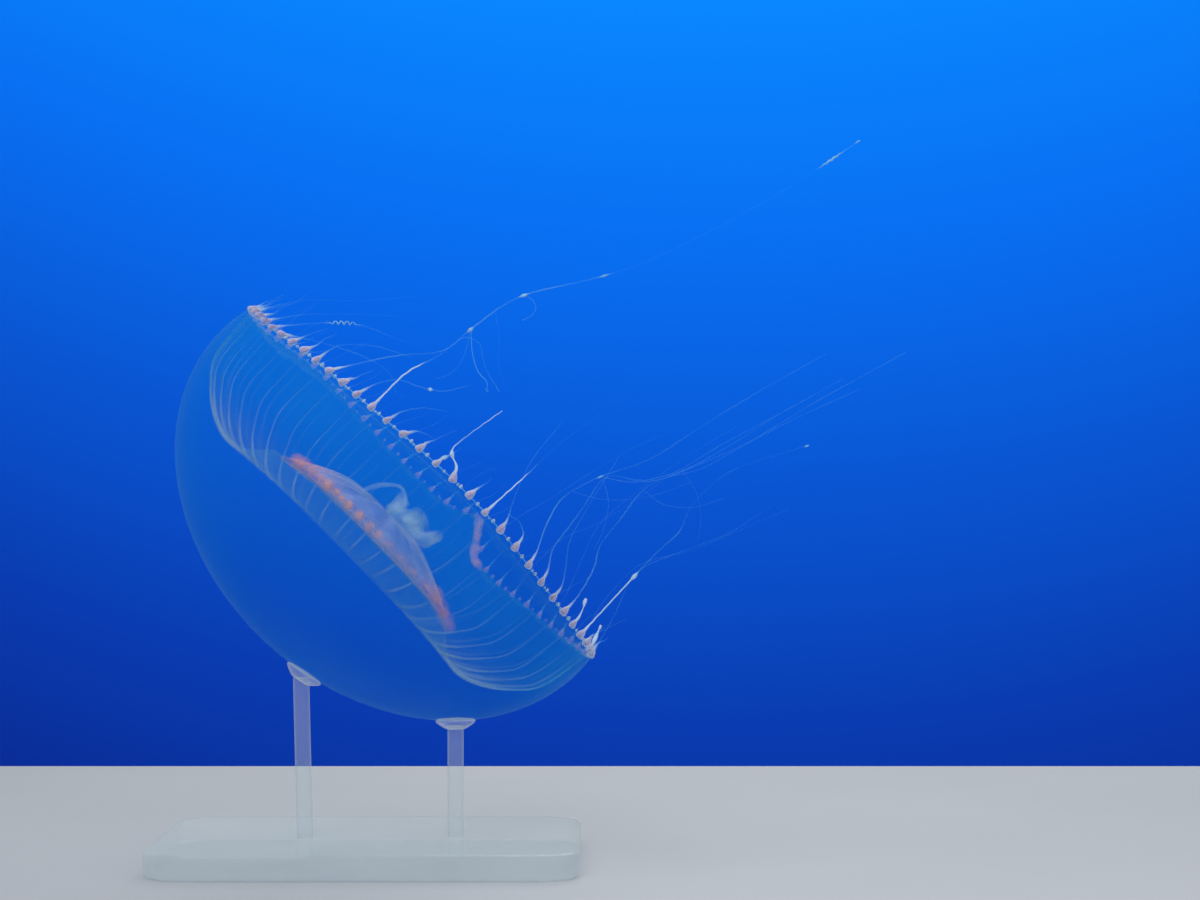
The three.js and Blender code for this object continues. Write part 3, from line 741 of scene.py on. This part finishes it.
def tentacle_lines():
    """Every tentacle along its route, in loose waves, with its coil, its knots and its shining stretches."""
    lines = []
    for k in range(BULBS):
        points, t = centre_line(k)
        total = t[-1]
        along = unit(np.gradient(points, axis=0))
        aside = unit(np.cross(along, [0, 1, 0]))
        depth = np.cross(aside, along)
        loose = np.minimum(0.04, 0.01 * t) * (0.6 + 0.4 * np.sin(t / 3 + k))
        turn = 2 * np.pi * t / WAVE_LENGTH + k
        if k in COILS:
            start, end, size = COILS[k]
            within = ramp(t, start, start + 1.5) * (1 - ramp(t, end - 1.5, end))
            turn = turn + 2 * np.pi * np.cumsum(within) * (t[1] - t[0]) / COIL_TURN
            loose = loose * (1 - within) + size * within
        points = points + (loose * np.cos(turn))[:, None] * aside + (loose * np.sin(turn))[:, None] * depth
        near = float(nearness(bulb_azimuth(k)))
        width = (THREAD + 0.04 * near) * (1 - 0.45 * t / total) + 0.16 * hill(t, 1.2, 1.0)
        # Painted highlight: bright is how pale the tentacle is painted where it catches the light, and it is
        # paler still near its root.
        bright = BRIGHT.get(k, 0.08 + 0.05 * near) * (1 - 0.3 * t / total)
        bright = bright * (0.85 + 0.3 * np.sin(t / 2.3 + 2 * k))
        bright = bright + (0.12 + 0.5 * near) * hill(t, 0, 2.6)
        for start, end, more in SHINE.get(k, []):
            bright = bright + more * ramp(t, start - 1, start + 1) * (1 - ramp(t, end - 2, end + 2))
        bright = np.maximum(bright, 0.03)
        # The pale accent follows the painted highlight, and at the knots it is their own paleness.
        accent = ramp(bright, 0.15, 0.7)
        for at, size, reach, yellow in KNOTS.get(k, []):
            bump = hill(t, at, reach)
            width = np.maximum(width, size * bump)
            bright = bright + (1 - bright) * ramp(bump, 0.1, 0.7)
            accent = np.maximum(accent, yellow * bump)
        # Here the milk value carries the painted highlight as well as the knots' own paleness.
        lines.append(tube_line(points, width, milk=np.clip(bright, 0, 1), accent=accent))
    return lines


def stray_lines():
    """Fine loops and side strands caught on the longer tentacles."""
    lines = []
    for k, at, runs, width, bright in STRAYS:
        points, t = centre_line(k)
        start = points[int(np.argmin(np.abs(t - at)))]
        total = sum(length for length, _ in runs)
        s = np.arange(int(total / THREAD_STEP)) * THREAD_STEP
        heading = np.radians(heading_at(runs, s))
        moves = THREAD_STEP * np.stack([np.cos(heading), 0.1 * np.sin(s), np.sin(heading)], axis=1)
        path = start + np.cumsum(moves, axis=0)
        lines.append(tube_line(path, width * (1 - 0.4 * s / total), milk=bright))
    return lines


# ---- bulbs
def bud(name, profile, sides=28, streaks=3):
    """A small turned body along +Z, one unit long and about one wide, with pale streaks down its sides."""
    profile = smooth_run(profile, 15)
    profile[0, 0] = 0
    profile[-1, 0] = 0
    turn = np.arange(sides) * 2 * np.pi / sides
    rows = np.array([[[r * math.cos(a), r * math.sin(a), z] for a in turn] for r, z in profile])
    stripe = np.maximum(0, np.cos(streaks * turn)) ** 3
    accent = np.concatenate([stripe * ramp(z, 0.0, 0.35) * 0.9 + ramp(z, 0.72, 1.0) for _, z in profile])
    return skin(name, rows / MM, [], values={"accent": np.clip(accent, 0, 1)})


def point_guide(points, leans, sizes, milk):
    mesh = bpy.data.meshes.new("guide")
    mesh.from_pydata(np.asarray(points) * MM, [], [])
    set_values(mesh, {"lean": leans, "size": np.asarray(sizes) * MM, "milk": milk})
    return mesh


def grow_buds(name, template, guide, finish):
    piece = grow(name, guide, BUDS, {"Bud": template, "Finish": finish})
    bpy.data.objects.remove(template)
    return piece


def bulb_guide():
    """Where each bulb sits, which way it points and how large it is."""
    points, leans, sizes = [], [], []
    for k in range(BULBS):
        path, t = centre_line(k)
        lean = unit(path[int(np.argmin(np.abs(t - 2.0)))] - path[0])
        size = (0.88 + 0.26 * chance(k, 21)) * (0.84 + 0.16 * float(nearness(bulb_azimuth(k))))
        points.append(path[0] - 0.75 * lean + 0.15 * CROWN)
        leans.append(lean)
        sizes.append(BULB_SIZE * size)
    return np.array(points), np.array(leans), np.array(sizes)


def rim_bulbs():
    """A clear tulip-shaped bulb at the root of each tentacle, and the dusky core within it."""
    points, leans, sizes = bulb_guide()
    k = np.arange(BULBS)
    milk = (0.16 + 0.84 * nearness(bulb_azimuth(k))) * (1 - 0.45 * hill(k, 1, 3.5) - 0.45 * hill(k, BULBS, 3))
    outline = [[0, 0], [0.36, 0.02], [0.5, 0.15], [0.49, 0.32], [0.39, 0.56], [0.2, 0.82], [0, 1]]
    shell = grow_buds("rim_bulbs", bud("bulb_shape", outline), point_guide(points, leans, sizes, milk),
                      bulb_shell)
    core = grow_buds("bulb_cores", bud("core_shape", outline, streaks=4),
                     point_guide(points + 0.2 * leans, leans, sizes * CORE_SHARE, milk), bulb_core)
    return shell, core


def young_bulbs():
    """Small round bulbs with no tentacle yet, between the grown ones."""
    points, leans, sizes, milk = [], [], [], []
    for k in range(BULBS):
        crowded = k in CROWDED_HIGH + CROWDED_LOW
        for n, share in enumerate((0.5, 0.3, 0.72)):
            if n and k not in CROWDED_LOW and chance(k, 30 + n) < 0.75:
                continue
            azimuth = float(bulb_azimuth(k + share + 0.1 * (chance(k, 33 + n) - 0.5)))
            size = (0.4 if n else 0.6) * (0.8 + 0.5 * chance(k, 36 + n)) * (1.2 if crowded else 1)
            points.append(outside(48.4, azimuth, -0.25))
            leans.append(-CROWN)
            sizes.append([size, size, 1.25 * size])
            milk.append((0.12 + 0.88 * float(nearness(azimuth))) * (0.4 if crowded else 1))
    outline = [[0, 0], [0.4, 0.1], [0.5, 0.42], [0.34, 0.8], [0, 1]]
    shape = bud("young_bulb_shape", outline, sides=10, streaks=2)
    return grow_buds("young_bulbs", shape, point_guide(points, leans, sizes, milk), young_flesh)


# Spots along the stomach's edge: azimuth, distance from the middle, size and how strong.
SPOTS = [[264, 20.6, 3.0, 0.3], [251, 21.0, 3.2, 0.38], [238, 21.0, 3.2, 0.5], [225, 21.6, 2.8, 0.7],
         [218, 21.2, 1.9, 0.7], [211, 21.4, 2.8, 1.1], [205, 21.0, 2.0, 0.9], [200, 21.4, 1.8, 0.8],
         [195, 21.2, 2.3, 1.1], [187, 21.2, 2.5, 1.0], [179, 21.6, 2.6, 0.7], [173, 21.2, 2.2, 0.65],
         [165, 21.0, 1.8, 0.4], [156, 21.4, 1.6, 0.3], [144, 21.2, 1.8, 0.3], [132, 21.5, 2.0, 0.3],
         [116, 20.0, 3.2, 0.25], [107, 19.0, 3.6, 0.25], [103, 20.0, 2.2, 0.45], [100, 21.0, 3.8, 0.26],
         [95, 22.2, 2.4, 0.45], [91, 23.0, 3.6, 0.26], [85, 24.8, 3.0, 0.22],
         [60, 21.2, 2.2, 0.3], [30, 21.4, 2.2, 0.3], [8, 21.2, 1.9, 0.3], [340, 21.4, 2.2, 0.3],
         [315, 21.2, 2.0, 0.3], [290, 21.4, 2.3, 0.35]]


def stomach_spots():
    """Soft salmon swellings along the edge of the stomach, strongest on its near side."""
    azimuth, radius, size, milk = np.array(SPOTS).T
    points = on_stomach(radius, azimuth, 14.0 + 0.45 * (radius - 21.3) + 0.6 * hill(azimuth, 100, 14))
    turn = np.radians(azimuth)[:, None]
    leans = np.sin(turn) * SIDE - np.cos(turn) * NEAR
    sizes = np.stack([size, size, 1.15 * size], axis=1)
    shape = bud("spot_shape", [[0, 0], [0.34, 0.08], [0.5, 0.42], [0.4, 0.78], [0, 1]], sides=24, streaks=2)
    guide = point_guide(points - 0.5 * size[:, None] * leans, leans, sizes, milk)
    return grow_buds("stomach_spots", shape, guide, stomach_spot)


THREADS = threads_on_lines()
BUDS = buds_on_points()


# ---- the animal
def threads(name, lines, finish, sides=8, flatness=1.0):
    return grow(name, guide_lines(lines), THREADS, {"Sides": sides, "Flatness": flatness, "Finish": finish})


bell = bell_skin()
velum = velum_sheet()
stomach = stomach_bag()
lips = mouth_frill()
canals = threads("radial_canals", canal_lines(), canal_wall, sides=12)
rim_cord = threads("rim_cord", rim_lines(), rim_thread)
fold = threads("rim_fold", fold_lines(), salmon_fold, sides=16, flatness=0.8)
strand = threads("lip_strand", strand_lines(), lip_frill, sides=10)
tentacles = threads("tentacles", tentacle_lines(), tentacle_thread, sides=6)
strays = threads("stray_threads", stray_lines(), tentacle_thread, sides=5)
bulbs, cores = rim_bulbs()
young = young_bulbs()
spots = stomach_spots()

nodes = list(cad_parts)
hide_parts("bell")
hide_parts("velum")
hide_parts("stomach")
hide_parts("mouth_lips")
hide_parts(*[name for name in nodes if name.startswith("canals_")])
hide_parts(*[name for name in nodes if name.startswith("margin_")])
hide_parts(*[name for name in nodes if name.startswith("tentacle_")])
for piece, slot in ((bell, "jelly"), (velum, "membrane"), (stomach, "membrane"), (lips, "lips"),
                    (strand, "lips"), (canals, "canal"), (rim_cord, "membrane"), (fold, "membrane"),
                    (bulbs, "bulb"), (cores, "bulb"), (young, "bulb"), (spots, "bulb"),
                    (tentacles, "thread"), (strays, "thread")):
    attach(piece, "root")


# ---- stand
def clear_acrylic():
    """Polished acrylic: clear inside, brighter at a slant, with faint wiping marks."""
    material, tree, shader = new_material("clear_acrylic", 0.1, 0.5, 1.49)
    clouds = use_group(tree, CLOUDINESS, {"Scale": 45.0, "Contrast": 1.0})
    colour = blend(tree, clouds, shade(196, 214, 222), shade(214, 228, 234))
    feed(shader, {"Base Color": colour})
    wiped = use_group(tree, CLOUDINESS, {"Scale": 380.0, "Contrast": 1.3})
    feed(shader, {"Roughness": reckon(tree, "MULTIPLY_ADD", wiped, 0.10, 0.05)})
    slant = add(tree, "ShaderNodeLayerWeight", {"Blend": 0.5}).outputs["Facing"]
    slant = reckon(tree, "POWER", slant, 2.5)
    feed(shader, {"Alpha": reckon(tree, "MULTIPLY_ADD", slant, 0.5, 0.16, clamp=True)})
    return material


def base_plate():
    """The stand's base: a thick plate with round corners and polished edges."""
    length, width, thick = BASE_SIZE
    turn = np.radians((np.arange(80) + 0.5) * 4.5)
    quarter = np.radians(np.linspace(0, 90, 6))
    edge = list(zip(BASE_POLISH * (1 - np.sin(quarter)), BASE_POLISH * (1 - np.cos(quarter))))
    rings = [(1.6, 0)] + edge + [(inset, thick - low) for inset, low in edge[::-1]] + [(1.6, thick)]
    middle_x = np.sign(np.cos(turn)) * (length / 2 - BASE_CORNER)
    middle_y = np.sign(np.sin(turn)) * (width / 2 - BASE_CORNER)
    rows = [np.stack([middle_x + (BASE_CORNER - inset) * np.cos(turn),
                      middle_y + (BASE_CORNER - inset) * np.sin(turn),
                      np.full(len(turn), float(height))], axis=1) for inset, height in rings]
    rows = [rows[0] * [0, 0, 1]] + rows + [rows[-1] * [0, 0, 1]]
    return skin("stand_plate", np.array(rows), [acrylic])


def underside(x, y):
    """The height of the bell's underside over a point of the base."""
    z = np.arange(5, 60, 0.01)
    out = np.stack([x + 0 * z, y + 0 * z, z], axis=1) - RIM_CENTRE
    height = out @ CROWN
    across = np.hypot(out @ SIDE + CROWN_SHIFT * height, out @ NEAR)
    return float(z[np.argmax((across / BELL_RADIUS) ** 2 + ((height - WIDEST_AT) / BELL_RISE) ** 2 < 1)])


def rods_and_pads():
    """Two rods, each with a dished pad on top that lies along the bell's underside."""
    lines, seats, slopes = [], [], []
    for x, y in ROD_FEET:
        fall = underside(x - 1, y) - underside(x + 1, y), underside(x, y - 1) - underside(x, y + 1)
        slope = unit(np.array([*fall, 2]))
        top = np.array([x, y, underside(x, y)]) - PAD_GAP * slope
        lines.append(tube_line(np.linspace([x, y, ROD_START], top - ROD_END * slope, 30), ROD_RADIUS))
        seats.append(top - PAD_THICK * slope)
        slopes.append(slope)
    rods = threads("stand_rods", lines, acrylic, sides=40)
    outline = [[0, 0], [0.22, 0.01], [0.35, 0.3], [0.47, 0.66], [0.5, 0.86], [0.485, 0.97], [0.44, 1],
               [0.2, 0.97], [0, 0.96]]
    dish = bud("dish_shape", outline, sides=48)
    guide = point_guide(seats, slopes, np.full((2, 3), [PAD_WIDTH, PAD_WIDTH, PAD_THICK]), np.ones(2))
    return rods, grow_buds("stand_pads", dish, guide, acrylic)


acrylic = clear_acrylic()
plate = base_plate()
rods, pads = rods_and_pads()
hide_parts("stand_base")
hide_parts("stand_rod_left", "stand_rod_right")
for piece in (plate, rods, pads):
    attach(piece, "root")


# ---- floor, light and camera
# From here on, in metres.
FLOOR_SIZE = (0.56, 0.40, 0.012)
FLOOR_MIDDLE = (0.046, -0.03, -0.0061)
LIGHTS_AIM = Vector((0.02, 0, 0.07))
EYE = (0.046, -0.560, 0.082)
# The blues of the backdrop, from its foot at 0 to its top at 1.
BLUES = [(0.0, (10, 36, 130)), (0.11, (10, 46, 153)), (0.26, (10, 60, 177)), (0.47, (10, 86, 211)),
         (0.69, (9, 112, 243)), (0.89, (10, 134, 255)), (1.0, (10, 142, 255))]


def pale_floor():
    """A smooth pale table top with a rounded front edge."""
    material, tree, shader = new_material("pale_floor", 0.55, 0.3, 1.45)
    clouds = use_group(tree, CLOUDINESS, {"Scale": 9.0, "Contrast": 0.6})
    colour = blend(tree, clouds, shade(176, 181, 188), shade(186, 190, 196))
    feed(shader, {"Base Color": colour})
    grain = use_group(tree, WRINKLES, {"Scale": 700.0, "Waves": 60.0})
    bump = add(tree, "ShaderNodeBump", {"Height": grain, "Strength": 0.3, "Distance": 0.0001})
    feed(shader, {"Normal": bump.outputs["Normal"]})
    shape = bmesh.new()
    bmesh.ops.create_cube(shape, size=1)
    bmesh.ops.scale(shape, verts=shape.verts, vec=FLOOR_SIZE)
    bmesh.ops.translate(shape, verts=shape.verts, vec=FLOOR_MIDDLE)
    bmesh.ops.bevel(shape, geom=shape.edges[:], offset=0.003, segments=4, affect="EDGES")
    mesh = bpy.data.meshes.new("floor")
    shape.to_mesh(mesh)
    shape.free()
    mesh.materials.append(material)
    return keep("floor", mesh)


pale_floor()


def backdrop():
    """Deep blue behind the model, paler towards the top, and plain pale light on it."""
    world = bpy.data.worlds.new("backdrop")
    world.use_nodes = True
    tree = world.node_tree
    tree.nodes.clear()
    where = add(tree, "ShaderNodeTexCoord")
    split = add(tree, "ShaderNodeSeparateXYZ", {0: where.outputs["Generated"]})
    aside = reckon(tree, "SUBTRACT", split.outputs["X"], 0.04)
    bow = reckon(tree, "MULTIPLY", reckon(tree, "MULTIPLY", aside, aside), 0.86)
    fall = reckon(tree, "MINIMUM", bow, 0.06)
    rise = reckon(tree, "MULTIPLY_ADD", reckon(tree, "SUBTRACT", split.outputs["Z"], fall), 2.5, 0.5)
    blues = add(tree, "ShaderNodeValToRGB", {0: rise})
    stops = blues.color_ramp.elements
    for at, _ in BLUES[1:-1]:
        stops.new(at)
    for stop, (_, colour) in zip(stops, BLUES):
        stop.color = shade(*colour)
    seen = add(tree, "ShaderNodeBackground", {"Color": blues.outputs["Color"], "Strength": 1.0})
    light = add(tree, "ShaderNodeBackground", {"Color": (0.85, 0.92, 1.0, 1), "Strength": 0.38})
    path = add(tree, "ShaderNodeLightPath")
    both = add(tree, "ShaderNodeMixShader", {
        0: path.outputs["Is Camera Ray"], 1: light.outputs[0], 2: seen.outputs[0]})
    add(tree, "ShaderNodeOutputWorld", {"Surface": both.outputs[0]})
    scene.world = world


def soft_light(name, place_at, size, power, colour=(1, 1, 1)):
    lamp = bpy.data.lights.new(name, "AREA")
    lamp.size = size
    lamp.energy = power
    lamp.color = colour
    lamp_object = bpy.data.objects.new(name, lamp)
    scene.collection.objects.link(lamp_object)
    lamp_object.location = place_at
    aim = LIGHTS_AIM - Vector(place_at)
    lamp_object.rotation_euler = aim.to_track_quat("-Z", "Y").to_euler()


backdrop()
soft_light("key", (-0.25, -0.40, 0.60), 0.35, 2.3)
soft_light("fill", (0.55, -0.45, 0.25), 0.4, 1.2)
soft_light("rim", (0.15, 0.50, 0.50), 0.4, 2.0)

camera_data = bpy.data.cameras.new("camera")
camera_data.lens = 84
camera_data.sensor_width = 36
camera_data.clip_start = 0.01
camera = bpy.data.objects.new("camera", camera_data)
camera.location = EYE
camera.rotation_euler = (math.radians(90), 0, 0)
scene.collection.objects.link(camera)
scene.camera = camera
scene.cycles.transparent_max_bounces = 64
scene.view_settings.view_transform = "Standard"
